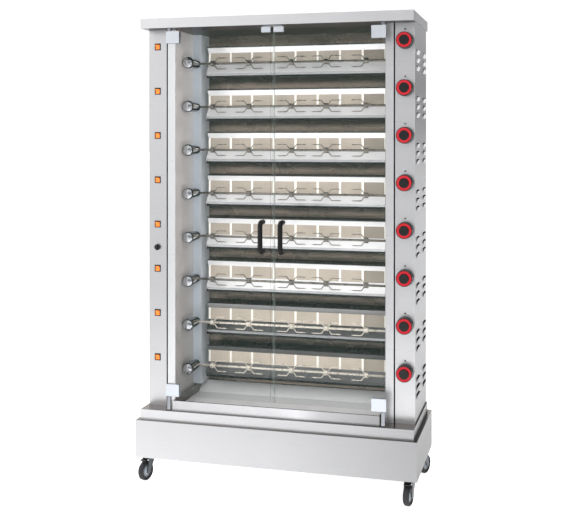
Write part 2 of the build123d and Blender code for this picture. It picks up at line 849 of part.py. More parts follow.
# Lamp switch: a small turning knob with a pointer flat
with BuildPart() as lamp_switch:
    lamp_back_y = column_front - knob_standoff
    rod(
        (-control_x, lamp_back_y, lamp_switch_height),
        (-control_x, lamp_back_y - lamp_switch_depth, lamp_switch_height),
        lamp_switch_radius,
    )
    chamfer(lamp_switch.faces().sort_by(Axis.Y)[0].edges(), knob_edge)
    rod(
        (-control_x, lamp_back_y, lamp_switch_height),
        (-control_x, column_front + switch_body_depth / 2, lamp_switch_height),
        lamp_shaft_radius,
    )
    flat_top = lamp_switch_height + lamp_switch_radius
    block(
        (-control_x + lamp_shaft_radius, -control_x + lamp_switch_radius),
        (lamp_back_y - lamp_switch_depth - cut_over, lamp_back_y - lamp_switch_depth / 2),
        (lamp_switch_height - lamp_switch_radius, flat_top),
        Mode.SUBTRACT,
    )
    block(
        (-control_x - lamp_switch_radius, -control_x - lamp_shaft_radius),
        (lamp_back_y - lamp_switch_depth - cut_over, lamp_back_y - lamp_switch_depth / 2),
        (lamp_switch_height - lamp_switch_radius, flat_top),
        Mode.SUBTRACT,
    )
save(lamp_switch, "lamp_switch")

# Drip tray: a pan with a sloping back and a hemmed front, resting on the deck
with BuildPart() as drip_tray:
    tray_floor = deck_top + running_gap
    tray_rim = tray_floor + tray_height
    tray_front_y = front + tray_front_depth
    tray_back_y = front + tray_back_depth
    slope_y = tray_back_y - tray_slope_depth
    with BuildSketch(Plane.YZ.offset(-tray_half_width)):
        Polygon(
            (tray_front_y, tray_floor),
            (slope_y, tray_floor),
            (tray_back_y, tray_rim),
            (tray_front_y, tray_rim),
            align=None,
        )
    extrude(amount=2 * tray_half_width)
    with BuildSketch(Plane.YZ.offset(-tray_half_width + sheet)):
        Polygon(
            (tray_front_y + sheet, tray_floor + sheet),
            (slope_y, tray_floor + sheet),
            (tray_back_y - sheet, tray_rim),
            (tray_back_y - sheet, tray_rim + cut_over),
            (tray_front_y + sheet, tray_rim + cut_over),
            align=None,
        )
    extrude(amount=2 * (tray_half_width - sheet), mode=Mode.SUBTRACT)
    block(
        (-tray_half_width, tray_half_width),
        (tray_front_y, tray_front_y + tray_lip),
        (tray_rim - sheet, tray_rim),
    )
save(drip_tray, "drip_tray")

# Castors: swivel forks, wheels and brake pedals, drawn at the origin with the trail along +X
fork_half = wheel_width / 2 + fork_gap
swivel_top = castor_height - castor_plate_thick - running_gap
swivel_foot = swivel_top - swivel_height


def castor_fork(braked):
    """A pressed fork: swivel head with its kingpin, two legs and the axle."""
    with BuildPart() as fork:
        rod((0, 0, swivel_foot), (0, 0, swivel_top), swivel_radius)
        rod((0, 0, swivel_top), (0, 0, castor_height), kingpin_radius)
        leg_back = -swivel_radius / sqrt(2)
        for side in (-1, 1):
            leg_plane = Plane.XZ.offset(-side * fork_half - (leg_thick if side > 0 else 0))
            with BuildSketch(leg_plane):
                with BuildLine():
                    Polyline(
                        (castor_trail - hub_radius, wheel_radius),
                        (leg_back, swivel_foot),
                        (leg_back, swivel_foot + swivel_height / 2),
                        (swivel_radius, swivel_foot + swivel_height / 2),
                        (castor_trail + hub_radius, wheel_radius),
                    )
                    ThreePointArc(
                        (castor_trail + hub_radius, wheel_radius),
                        (castor_trail, wheel_radius - hub_radius),
                        (castor_trail - hub_radius, wheel_radius),
                    )
                make_face()
            extrude(amount=leg_thick)
        rod((castor_trail, -fork_half, wheel_radius), (castor_trail, fork_half, wheel_radius), axle_radius)
        if braked:
            pin_hole = pedal_pin_radius + running_gap
            pin_reach = fork_half + leg_thick + cut_over
            pin_start = (pedal_pivot_trail, -pin_reach, pedal_pivot_height)
            pin_end = (pedal_pivot_trail, pin_reach, pedal_pivot_height)
            rod(pin_start, pin_end, pin_hole, Mode.SUBTRACT)
    return fork.part


def castor_wheel():
    """A wheel with rounded tread and a bored hub."""
    with BuildPart() as wheel:
        half = wheel_width / 2
        with BuildSketch(Plane.XY.offset(wheel_radius)):
            Polygon(
                (castor_trail + axle_radius + running_gap, -half),
                (castor_trail + hub_radius, -half),
                (castor_trail + hub_radius + wheel_edge, -half + wheel_edge),
                (castor_trail + wheel_radius - 2 * wheel_edge, -half + wheel_edge),
                (castor_trail + wheel_radius - wheel_edge, -half),
                (castor_trail + wheel_radius, -half + wheel_edge),
                (castor_trail + wheel_radius, half - wheel_edge),
                (castor_trail + wheel_radius - wheel_edge, half),
                (castor_trail + wheel_radius - 2 * wheel_edge, half - wheel_edge),
                (castor_trail + hub_radius + wheel_edge, half - wheel_edge),
                (castor_trail + hub_radius, half),
                (castor_trail + axle_radius + running_gap, half),
                align=None,
            )
        revolve(axis=Axis((castor_trail, 0, wheel_radius), (0, 1, 0)))
    return wheel.part


def brake_pedal():
    """A brake pedal: an eye and pin between the legs, and a pressed tread plate."""
    with BuildPart() as pedal:
        eye_half = wheel_width / 2 + running_gap
        pin_half = fork_half + leg_thick
        eye_low = (pedal_pivot_trail, -eye_half, pedal_pivot_height)
        eye_high = (pedal_pivot_trail, eye_half, pedal_pivot_height)
        rod(eye_low, eye_high, pedal_eye_radius)
        pin_low = (pedal_pivot_trail, -pin_half, pedal_pivot_height)
        rod(pin_low, (pedal_pivot_trail, pin_half, pedal_pivot_height), pedal_pin_radius)
        with BuildSketch(Plane.XZ.offset(-eye_half)):
            Polygon(
                (pedal_pivot_trail, pedal_pivot_height),
                (pedal_reach, pedal_pivot_height - pedal_drop),
                (pedal_reach, pedal_pivot_height - pedal_drop + pedal_thick),
                (pedal_pivot_trail, pedal_pivot_height + pedal_thick),
                align=None,
            )
        extrude(amount=2 * eye_half)
    return pedal.part


corner_names = ("front_left", "front_right", "rear_left", "rear_right")
for name, place, angle in zip(corner_names, castor_places, castor_angles):
    braked = name.startswith("front")
    standing = Location((place[0], place[1], 0), (0, 0, angle))
    castor_pieces = {f"{name}_fork": castor_fork(braked), f"{name}_wheel": castor_wheel()}
    if braked:
        castor_pieces[f"{name}_pedal"] = brake_pedal()
    for piece_name, piece in castor_pieces.items():
        placed = piece.moved(standing)
        placed.label = piece_name
        export_step(placed, f"parts/{piece_name}.step")
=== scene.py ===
"""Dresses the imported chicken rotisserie: finishes for its sheet metal, glass, burners and controls, wire
forks on the spits, and a pale studio. Metres, +Z up, the doors face -Y."""
import json
from math import radians

import bpy
import numpy as np
from bpy.props import FloatProperty, FloatVectorProperty, IntProperty, PointerProperty
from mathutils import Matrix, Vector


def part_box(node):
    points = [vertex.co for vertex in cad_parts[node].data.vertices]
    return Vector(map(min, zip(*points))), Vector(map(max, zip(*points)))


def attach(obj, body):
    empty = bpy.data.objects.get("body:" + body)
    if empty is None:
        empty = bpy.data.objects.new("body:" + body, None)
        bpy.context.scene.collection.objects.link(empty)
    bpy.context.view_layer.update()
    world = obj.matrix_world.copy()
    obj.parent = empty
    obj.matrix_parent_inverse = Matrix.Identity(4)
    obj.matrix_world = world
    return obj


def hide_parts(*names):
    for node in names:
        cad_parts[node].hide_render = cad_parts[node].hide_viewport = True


bl_info = {
    "name": "Chicken rotisserie dressing",
    "version": (1, 0, 0),
    "blender": (4, 5, 0),
    "location": "3D View > Sidebar > Rotisserie",
    "description": "Builds the finishes and the fine pieces of a floor-standing chicken rotisserie",
    "category": "Object",
}

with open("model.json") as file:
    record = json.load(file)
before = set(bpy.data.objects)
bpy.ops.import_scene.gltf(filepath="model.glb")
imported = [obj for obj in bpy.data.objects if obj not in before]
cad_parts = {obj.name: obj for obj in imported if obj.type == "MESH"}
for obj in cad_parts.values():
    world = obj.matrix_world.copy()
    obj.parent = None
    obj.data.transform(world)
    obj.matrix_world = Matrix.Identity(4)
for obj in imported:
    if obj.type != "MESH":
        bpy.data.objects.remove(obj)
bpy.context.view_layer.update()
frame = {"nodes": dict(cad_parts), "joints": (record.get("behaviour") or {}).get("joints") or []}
nodes = frame["nodes"]

# Names that repeat
LEVELS = range(1, 9)
CORNERS = ("front_left", "front_right", "rear_left", "rear_right")
COLUMNS = ("left_column", "right_column")
WALLS = ("left_chamber_wall", "right_chamber_wall")
BRIGHT_SPITS = (1, 2)
PANES = ("left_door_glass", "right_door_glass")

# Places on the part, in metres
LEVEL_PITCH = 0.189  # from one spit up to the next
SHADE_BAND_START = 0.337  # height of the lowest band free of painted shade on the chamber back
UNBANDED_TOP = (1.84, 1.86)  # heights over which the chamber back's bands of painted shade stop
LIP_EDGE = (0.52, 0.007)  # height and depth of the painted dark reflection on a lip's fold
FLANGE_EDGE = (0.386, 0.01)  # height and depth of the painted dark reflection on a flange's fold
PLAQUE_PITCH = 0.099  # from one joint strip to the next
PLAQUE_JOINT = 0.0091  # width of a joint strip, and a little over
LAST_PLAQUE = 7.05 * PLAQUE_PITCH  # where the end plaque begins
CANOPY_LEVEL = 1.0  # faces that look down are in the shade above this height
COLUMN_INSIDE = (0.49, 0.569)  # distances from the middle between a column's two side sheets
COLUMN_OUTSIDE = 0.5694  # distance of a column's outer side from the middle, with its louvres beyond
COLUMN_SKIN = 0.0005  # depth that still counts as a column's front or back
COLUMN_FOOT = 0.4  # below this height a column's recessed foot stays in the light
WALL_INSIDE = 0.4501  # distance of a chamber wall's lining from the middle
TRAY_RIM = 0.001  # depth below the tray's top that still counts as its rim
HEAD_DOME = 0.0141  # depth of a spit head's dome
RING_RADII = (0.0201, 0.0296)  # a knob's ring
RING_FACE = 0.0066  # depth behind the knob's front at which the ring begins
RING_DEPTH = 0.0036  # how far back the ring goes from there
WHEEL_RIM = 0.024  # radius of a wheel's nylon middle

# How far a normal leans along an axis, from -1 to 1, before the face counts as looking that way
FACING = 0.8
UPWARD = 0.2  # the tray's bottom, which slopes
WALL_FACING = 0.9
SHIELD_FACING = 0.7
FLANGE_FACING = -0.95
DOME_RIM = -0.72  # a head's dome gets a painted dark reflection where it turns from the front
BARREL_BANDS = (0.6, 0.15, -0.35)  # lower ends of the bands of painted reflection on a head's barrel

# Shares of a tint: each pair is a place along an axis, in metres, and the share there
EVEN = ((0, 1.0), (2, 1.0))
# Painted dark reflection on the lips and the flanges, strongest at the two lowest burners
LIP_DARK_REFLECTION = ((0.4, 0.08), (0.46, 0.14), (0.52, 0.17), (0.59, 0.06), (0.64, 0.06), (0.7, 0.4), (0.8, 1.0))
FLANGE_DARK_REFLECTION = ((0.4, 0.22), (0.56, 0.42), (0.66, 0.75), (1.0, 1.0))
# The plaques' tone by height: lightest at the bottom, darkest from about 1.0 to 1.4 m
PLAQUE_UP = ((0.45, 0.97), (0.64, 0.86), (0.82, 0.83), (1.01, 0.73), (1.4, 0.71), (1.8, 0.77))
# Painted light across the plinth and the deck, brighter at the left end
BASE_ACROSS = ((-0.59, 0.91), (0, 0.78), (0.59, 0.53))
# Painted light across the jambs, brighter on the left
JAMB_ACROSS = ((-0.45, 1.05), (0.45, 0.82))
# Painted light across the tray front, brightest a little right of the middle and dimmest at the right end
TRAY_ACROSS = ((-0.43, 1.45), (0.0, 1.6), (0.1, 1.8), (0.2, 1.2), (0.43, 0.8))
# Painted shade on the side faces, darker towards the floor, and painted light near the top
FLANK_UP = ((0.2, 0.26), (0.45, 0.58), (1.25, 0.6), (1.7, 1.22), (1.92, 2.0))
# Painted shade on the chamber lining, darker towards the bottom
LINING_UP = ((0.35, 0.62), (0.7, 0.75), (1.3, 0.95), (1.8, 1.12))

# The forks of a spit: the hub's place along the bar and the ways in which its prongs point
FORKS = ((-0.1755, (-1, 1)), (0.01575, (-1, 1)), (0.16875, (-1, 1)), (-0.342, (1,)), (0.342, (-1,)))

# A fork's thumb screw, as distances from the bar's middle and radii, and the bevels of bars and hubs
SCREW = ((0.008, 0.002), (0.0145, 0.002), (0.015, 0.0035), (0.0212, 0.0035), (0.022, 0.0026))
BAR_BEVEL, BAR_TIP = 0.002, 0.0035
HUB_BEVEL = 0.0012


def linear(hex_colour):
    """An sRGB hex colour as linear red, green, blue and alpha."""
    shares = np.array([int(hex_colour[i:i + 2], 16) for i in (1, 3, 5)]) / 255
    values = np.where(shares <= 0.04045, shares / 12.92, ((shares + 0.055) / 1.055) ** 2.4)
    return (*values.tolist(), 1.0)


def colour(name, hex_colour, words):
    """A colour that a user may change."""
    return FloatVectorProperty(name=name, description=words, subtype="COLOR", size=4, min=0, max=1,
                               default=linear(hex_colour))


def length(name, metres, words):
    """A length that a user may change."""
    return FloatProperty(name=name, description=words, default=metres, unit="LENGTH", min=0)


class RotisserieFinishes(bpy.types.PropertyGroup):
    """Colours of the rotisserie's finishes."""
    panel: colour("Panel steel", "#C0C0C2", "Brushed stainless of the casing")
    deck: colour("Deck steel", "#CBCBCD", "Brushed stainless of the deck and the canopy")
    # The lips' near white is painted light, against the flanges' painted shade
    polished: colour("Polished steel", "#FDFDFE", "Mirror polished stainless round the burners")
    # The shield front's bluish tint is a painted reflection
    shield: colour("Corner shield", "#C6CED8", "Polished front of the corner strip beside the burners")
    # The shield's paler side is painted light
    shield_side: colour("Corner shield side", "#F2F6FC", "Side of the corner strip, which faces the burners")
    jamb: colour("Jamb steel", "#D6D6D8", "Brushed stainless of the strips beside the doors")
    # The side faces' darker grey is painted shade
    flank: colour("Side steel", "#A0A0A3", "Brushed stainless of the side faces")
    # Ledge steel is a painted dark reflection
    ledge: colour("Ledge steel", "#77716D", "Stainless of faces that look up and mirror the parts above")
    # Inner sheet is painted shade, and the dark band of the spit heads' painted reflection
    inner: colour("Inner sheet", "#2C2A29", "Sheet out of the light, in the columns and under the canopy")
    lining: colour("Chamber lining", "#E6E0DE", "Brushed inside of the chamber walls")
    tinted: colour("Chamber back", "#80756B", "Stainless darkened by the heat")
    # The flange's grey is painted shade on the faces that look forward
    flange: colour("Burner flange", "#C2C2C4", "Turned-down edge below each burner")
    tray: colour("Drip tray", "#959597", "Polished sheet of the drip tray")
    # The tray bottom's near white is a painted reflection
    pan: colour("Tray bottom", "#F4F4F5", "Polished bottom of the drip tray")
    plaque: colour("Burner plaque", "#D2C6B7", "Drilled ceramic of the burners")
    # The end plaque's greyer tone is painted shade
    end_plaque_shade: colour("End plaque", "#B1A79A", "Ceramic of the greyer plaque at the right end")
    joint: colour("Plaque joint", "#FFFBF3", "Fibre strip between the plaques")
    chrome: colour("Chrome", "#C4C6CB", "Plated spit heads")
    # The head barrel's dark grey is a painted reflection
    barrel: colour("Head barrel", "#5E6064", "Plated sides of the spit heads, which mirror the dark chamber")
    bar: colour("Spit bar", "#8A857E", "Drawn stainless of spits and forks")
    # The brighter bar of the two lowest spits is a painted highlight
    bright_bar: colour("Clean spit bar", "#E2DBCF", "Drawn stainless of the two lowest, brighter spits")
    satin: colour("Door clamp", "#C3C8CE", "Satin plated clamps of the doors")
    post: colour("Door post", "#8C8F94", "Plated pins on which the doors turn")
    glass: colour("Door glass", "#4A5A55", "Toughened glass")
    glass_edge: colour("Glass edge", "#1C2925", "Ground edges of the glass, where its green shows")
    seal: colour("Door seal", "#66736D", "Clear soft strip between the doors")
    black: colour("Black plastic", "#121214", "Bezels, lamp switch, pedals and motors")
    nylon: colour("Handle black", "#080809", "Black plastic of the door handles and the tap knobs")
    ring: colour("Knob ring", "#A10D1B", "Ring let into each tap knob")
    rocker: colour("Rocker", "#EE7A1E", "Translucent rocker switches")
    zinc: colour("Castor steel", "#55585C", "Zinc plated castor forks")
    tyre: colour("Castor tyre", "#17171A", "Rubber of the castor wheels")
    rim: colour("Castor rim", "#868D95", "Nylon middle of the castor wheels")
    brass: colour("Gas train brass", "#B08D4A", "Brass of the manifold, the taps and the feed pipes")


class RotisserieSizes(bpy.types.PropertyGroup):
    """Sizes of the pieces that this file makes."""
    bar_radius: length("Bar radius", 0.005, "Radius of a spit's bar")
    wire_radius: length("Wire radius", 0.0021, "Radius of a fork's prong")
    prong_reach: length("Prong reach", 0.066, "Length of a prong from its hub")
    prong_spread: length("Prong spread", 0.024, "Distance of a prong from the bar's middle")
    prong_bend: length("Prong bend", 0.024, "Length over which a prong leaves the hub")
    hub_radius: length("Hub radius", 0.012, "Radius of a fork's hub")
    hub_length: length("Hub length", 0.017, "Length of a fork's hub")
    round_steps: IntProperty(name="Steps round", description="Faces round a wire; a bar has twice as many",
                             default=12, min=6, max=48)


def add(tree, kind, inputs=None, **settings):
    """One node with its settings, and its inputs as values or links."""
    made = tree.nodes.new(kind)
    for key, value in settings.items():
        setattr(made, key, value)
    for socket, value in (inputs or {}).items():
        if isinstance(value, bpy.types.NodeSocket):
            tree.links.new(value, made.inputs[socket])
        else:
            made.inputs[socket].default_value = value
    return made


def finish(name, **sockets):
    """A material with one shader whose sockets are set, and its Object coordinates."""
    material = bpy.data.materials.new(name)
    material.use_nodes = True
    tree = material.node_tree
    tree.nodes.clear()
    values = {key.replace("_", " "): value for key, value in sockets.items()}
    shader = add(tree, "ShaderNodeBsdfPrincipled", values)
    add(tree, "ShaderNodeOutputMaterial", {"Surface": shader.outputs[0]})
    place = add(tree, "ShaderNodeTexCoord").outputs["Object"]
    return material, tree, shader, place


def feed(tree, shader, **sources):
    """Link what nodes give to the shader's sockets."""
    for key, source in sources.items():
        tree.links.new(source, shader.inputs[key.replace("_", " ")])


def by_place(tree, place, tint, fall, axis="Z"):
    """A tint that changes along an axis: the pairs in fall are a place in metres and the share of the tint
    there, at most 2. A ramp holds half of each share, so the tint is doubled."""
    value = add(tree, "ShaderNodeSeparateXYZ", {0: place}).outputs[axis]
    first, last = fall[0][0], fall[-1][0]
    level = add(tree, "ShaderNodeMapRange", {"Value": value, "From Min": first, "From Max": last}).outputs[0]
    ramp = add(tree, "ShaderNodeValToRGB", {0: level})
    stops = ramp.color_ramp.elements
    while len(stops) < len(fall):
        stops.new(0.5)
    for stop, (spot, part) in zip(stops, fall):
        stop.position = (spot - first) / (last - first)
        stop.color = (part / 2, part / 2, part / 2, 1)
    double = [2 * share for share in tuple(tint)[:3]]
    return add(tree, "ShaderNodeVectorMath", {0: double, 1: ramp.outputs[0]}, operation="MULTIPLY").outputs[0]


def painted_edge_reflection(tree, place, start, depth):
    """A share that is low on the folded edge of every burner, as a painted reflection of the dark chamber:
    the edge covers (z - start) mod level pitch < depth, in metres, and ends over the last millimetre."""
    height = add(tree, "ShaderNodeSeparateXYZ", {0: place}).outputs["Z"]
    above = add(tree, "ShaderNodeMath", {0: height, 1: start}, operation="SUBTRACT").outputs[0]
    rise = add(tree, "ShaderNodeMath", {0: above, 1: LEVEL_PITCH}, operation="FLOORED_MODULO").outputs[0]
    return add(tree, "ShaderNodeMapRange", {"Value": rise, "From Min": depth - 0.001, "From Max": depth,
                                            "To Min": 0.03, "To Max": 1.0}).outputs[0]


def brushed_stainless(name, tint, rough, strength, metal, fall=EVEN, axis="Z"):
    """Cold rolled 304 sheet, brushed sideways: long fine streaks that spread the highlights up and down.
    The real grit line is 0.2 mm; the streaks are drawn 2.5 mm apart and 330 mm long so that they show.
    The tone also clouds a little over about 450 mm."""
    material, tree, shader, place = finish(name, Metallic=metal)
    streak = add(tree, "ShaderNodeMapping", {"Vector": place, "Scale": (3, 3, 400)}).outputs[0]
    grain = add(tree, "ShaderNodeTexNoise", {"Vector": streak, "Scale": 1.0, "Detail": 3.0}).outputs["Fac"]
    cloud = add(tree, "ShaderNodeTexNoise", {"Vector": place, "Scale": 2.2, "Detail": 2.0}).outputs["Fac"]
    both = add(tree, "ShaderNodeMath", {0: grain, 1: cloud}, operation="ADD").outputs[0]
    tone = add(tree, "ShaderNodeMapRange", {"Value": both, "From Min": 0.6, "From Max": 1.4,
                                            "To Min": 0.93, "To Max": 1.0}).outputs[0]
    sheet = by_place(tree, place, tint, fall, axis)
    shade = add(tree, "ShaderNodeVectorMath", {0: sheet, "Scale": tone}, operation="SCALE").outputs[0]
    gloss = add(tree, "ShaderNodeMapRange", {"Value": grain, "To Min": rough - 0.06,
                                             "To Max": rough + 0.06}).outputs[0]
    bump = add(tree, "ShaderNodeBump", {"Height": grain, "Strength": strength, "Distance": 0.0004}).outputs[0]
    feed(tree, shader, Base_Color=shade, Roughness=gloss, Normal=bump)
    return material


def polished_stainless(name, tint, rough, metal, fall=EVEN, edge=None, axis="Z"):
    """Bright annealed sheet, polished: a mirror that waves a little because the sheet is thin. The waves are
    about 90 mm long and half a millimetre deep, and a thin film dulls the gloss in patches of 25 mm."""
    material, tree, shader, place = finish(name, Metallic=metal)
    wave = add(tree, "ShaderNodeTexNoise", {"Vector": place, "Scale": 11.0, "Detail": 1.0}).outputs["Fac"]
    film = add(tree, "ShaderNodeTexNoise", {"Vector": place, "Scale": 40.0, "Detail": 4.0}).outputs["Fac"]
    tone = add(tree, "ShaderNodeMapRange", {"Value": film, "To Min": 0.9, "To Max": 1.0}).outputs[0]
    if edge:
        line = painted_edge_reflection(tree, place, *edge)
        tone = add(tree, "ShaderNodeMath", {0: tone, 1: line}, operation="MULTIPLY").outputs[0]
    sheet = by_place(tree, place, tint, fall, axis)
    shade = add(tree, "ShaderNodeVectorMath", {0: sheet, "Scale": tone}, operation="SCALE").outputs[0]
    gloss = add(tree, "ShaderNodeMapRange", {"Value": film, "To Min": rough - 0.03,
                                             "To Max": rough + 0.05}).outputs[0]
    bump = add(tree, "ShaderNodeBump", {"Height": wave, "Strength": 0.25, "Distance": 0.002}).outputs[0]
    feed(tree, shader, Base_Color=shade, Roughness=gloss, Normal=bump)
    return material


def shade_banded_stainless(tint):
    """Chamber back, blued by the heat, with bands of painted shade: paler for about 25 mm above each burner,
    painted darker from there up to the next one, and without the bands at the very top. The painted shade
    follows rise = (z - start of the bands) mod level pitch, in metres, and its edge drifts by up to 14 mm in
    waves of 70 mm."""
    material, tree, shader, place = finish("heat_tinted_back_painted_shade", Metallic=0.95)
    height = add(tree, "ShaderNodeSeparateXYZ", {0: place}).outputs["Z"]
    above = add(tree, "ShaderNodeMath", {0: height, 1: SHADE_BAND_START}, operation="SUBTRACT").outputs[0]
    rise = add(tree, "ShaderNodeMath", {0: above, 1: LEVEL_PITCH}, operation="MODULO").outputs[0]
    wave = add(tree, "ShaderNodeTexNoise", {"Vector": place, "Scale": 14.0, "Detail": 2.0}).outputs["Fac"]
    drift = add(tree, "ShaderNodeMath", {0: wave, 1: 0.014, 2: rise}, operation="MULTIPLY_ADD").outputs[0]
    band_shade = add(tree, "ShaderNodeMapRange", {"Value": drift, "From Min": 0.024, "From Max": 0.042,
                                            "To Min": 1.35, "To Max": 0.3}).outputs[0]
    brightened = add(tree, "ShaderNodeMapRange", {"Value": height, "From Min": UNBANDED_TOP[0],
                                             "From Max": UNBANDED_TOP[1]}).outputs[0]
    most = add(tree, "ShaderNodeMath", {0: band_shade, 1: brightened}, operation="MAXIMUM").outputs[0]
    shade = add(tree, "ShaderNodeVectorMath", {0: tuple(tint)[:3], "Scale": most},
                operation="SCALE").outputs[0]
    gloss = add(tree, "ShaderNodeMapRange", {"Value": wave, "To Min": 0.18, "To Max": 0.34}).outputs[0]
    bump = add(tree, "ShaderNodeBump", {"Height": wave, "Strength": 0.25, "Distance": 0.002}).outputs[0]
    feed(tree, shader, Base_Color=shade, Roughness=gloss, Normal=bump)
    return material


def drilled_ceramic(name, tint):
    """Cordierite burner plaque: chalky, drilled with rows of 1.3 mm flame holes and a little browned by the
    flames in patches of 110 mm. The holes are drawn 6 mm apart so that they show."""
    material, tree, shader, place = finish(name, Roughness=0.88)
    flat = add(tree, "ShaderNodeMapping", {"Vector": place, "Scale": (167, 0, 167)}).outputs[0]
    holes = add(tree, "ShaderNodeTexVoronoi", {"Vector": flat, "Scale": 1.0,
                                               "Randomness": 0.0}).outputs["Distance"]
    open_face = add(tree, "ShaderNodeMapRange", {"Value": holes, "From Min": 0.16, "From Max": 0.3,
                                                 "To Min": 0.72, "To Max": 1.0}).outputs[0]
    scorch = add(tree, "ShaderNodeTexNoise", {"Vector": place, "Scale": 9.0, "Detail": 3.0}).outputs["Fac"]
    warm = add(tree, "ShaderNodeMapRange", {"Value": scorch, "To Min": 0.76, "To Max": 1.14}).outputs[0]
    both = add(tree, "ShaderNodeMath", {0: open_face, 1: warm}, operation="MULTIPLY").outputs[0]
    plaque_tone = by_place(tree, place, tint, PLAQUE_UP)
    shade = add(tree, "ShaderNodeVectorMath", {0: plaque_tone, "Scale": both}, operation="SCALE").outputs[0]
    bump = add(tree, "ShaderNodeBump", {"Height": open_face, "Strength": 0.4, "Distance": 0.001}).outputs[0]
    feed(tree, shader, Base_Color=shade, Normal=bump)
    return material


def mottled(name, tint, rough, spread, size, **sockets):
    """A surface with one colour that clouds slightly over the given size in metres, as moulded, painted or
    plated parts do. Its tone varies by spread, and its gloss and a faint bump follow the clouds."""
    material, tree, shader, place = finish(name, **sockets)
    cloud = add(tree, "ShaderNodeTexNoise", {"Vector": place, "Scale": 1 / size,
                                             "Detail": 4.0}).outputs["Fac"]
    tone = add(tree, "ShaderNodeMapRange", {"Value": cloud, "To Min": 1 - spread,
                                            "To Max": 1 + spread}).outputs[0]
    shade = add(tree, "ShaderNodeVectorMath", {0: tuple(tint)[:3], "Scale": tone},
                operation="SCALE").outputs[0]
    gloss = add(tree, "ShaderNodeMapRange", {"Value": cloud, "To Min": rough * 0.8,
                                             "To Max": rough * 1.2}).outputs[0]
    bump = add(tree, "ShaderNodeBump", {"Height": cloud, "Strength": 0.08, "Distance": 0.0003}).outputs[0]
    feed(tree, shader, Base_Color=shade, Roughness=gloss, Normal=bump)
    return material


def clear_sheet(name, tint, rough, cover):
    """Toughened glass or soft clear plastic: mostly open, with a faint tint and smears of about 170 mm that
    dull the gloss."""
    material, tree, shader, place = finish(name, Base_Color=tuple(tint), Alpha=cover, IOR=1.52)
    smear = add(tree, "ShaderNodeTexNoise", {"Vector": place, "Scale": 6.0, "Detail": 3.0}).outputs["Fac"]
    gloss = add(tree, "ShaderNodeMapRange", {"Value": smear, "To Min": rough,
                                             "To Max": rough + 0.06}).outputs[0]
    feed(tree, shader, Roughness=gloss)
    return material


def studio_floor():
    """A plain pale sweep of matt paper, with a painted glow round the machine that washes out its shadow: the
    glow falls from 0.8 at y = -0.4 to nothing at y = -2.2, in front of the doors."""
    material, tree, shader, place = finish("pale_studio_floor", Roughness=0.9, Base_Color=linear("#EDEDED"),
                                           Emission_Color=(1, 1, 1, 1))
    depth = add(tree, "ShaderNodeSeparateXYZ", {0: place}).outputs["Y"]
    painted_glow = add(tree, "ShaderNodeMapRange", {"Value": depth, "From Min": -2.2, "From Max": -0.4,
                                            "To Min": 0.0, "To Max": 0.8}).outputs[0]
    feed(tree, shader, Emission_Strength=painted_glow)
    return material


def wear(names, *materials):
    """Give CAD nodes their materials."""
    for name in names:
        mesh = nodes[name].data
        mesh.materials.clear()
        for material in materials:
            mesh.materials.append(material)


def paint(name, choose):
    """Give each face of a CAD node the number of its material, worked out from the faces' middles and
    normals."""
    mesh = nodes[name].data
    middles, normals = np.empty((2, len(mesh.polygons) * 3))
    mesh.polygons.foreach_get("center", middles)
    mesh.polygons.foreach_get("normal", normals)
    numbers = choose(middles.reshape(-1, 3), normals.reshape(-1, 3))
    mesh.polygons.foreach_set("material_index", numbers.astype(np.int32))
    mesh.update()


def packed_joint(name):
    """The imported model's joint of that name."""
    return next(row for row in frame["joints"] if row["name"] == name)


def join(name, grids, material, body):
    """One mesh from grids of points, each closed round its second parameter, with its ends closed by their
    rings."""
    points, faces, first = [], [], 0
    for grid in grids:
        rows, steps = grid.shape[:2]
        row, step = np.meshgrid(np.arange(rows - 1), np.arange(steps), indexing="ij")
        after = (step + 1) % steps
        quads = np.stack([row * steps + step, row * steps + after,
                          (row + 1) * steps + after, (row + 1) * steps + step], axis=-1)
        faces.extend((quads.reshape(-1, 4) + first).tolist())
        faces.append(list(range(first + steps - 1, first - 1, -1)))
        faces.append(list(range(first + (rows - 1) * steps, first + rows * steps)))
        points.append(grid.reshape(-1, 3))
        first += rows * steps
    mesh = bpy.data.meshes.new(name)
    mesh.from_pydata(np.concatenate(points).tolist(), [], faces)
    mesh.materials.append(material)
    mesh.shade_smooth()
    mesh.set_sharp_from_angle(angle=radians(40))
    piece = bpy.data.objects.new(name, mesh)
    bpy.context.scene.collection.objects.link(piece)
    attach(piece, body)
    return piece


def turned(profile, start, axis, steps):
    """A profile of (distance along, radius) pairs turned about an axis a, with n and b square to it:
    point = start + along a + radius (cos n + sin b)."""
    along, radius = np.array(profile, float).T
    a = np.array(axis, float)
    n = np.roll(np.abs(a), 1)
    b = np.cross(a, n)
    turn = np.linspace(0, 2 * np.pi, steps, endpoint=False)
    ring = np.cos(turn)[:, None] * n + np.sin(turn)[:, None] * b
    return np.array(start) + along[:, None, None] * a + radius[:, None, None] * ring


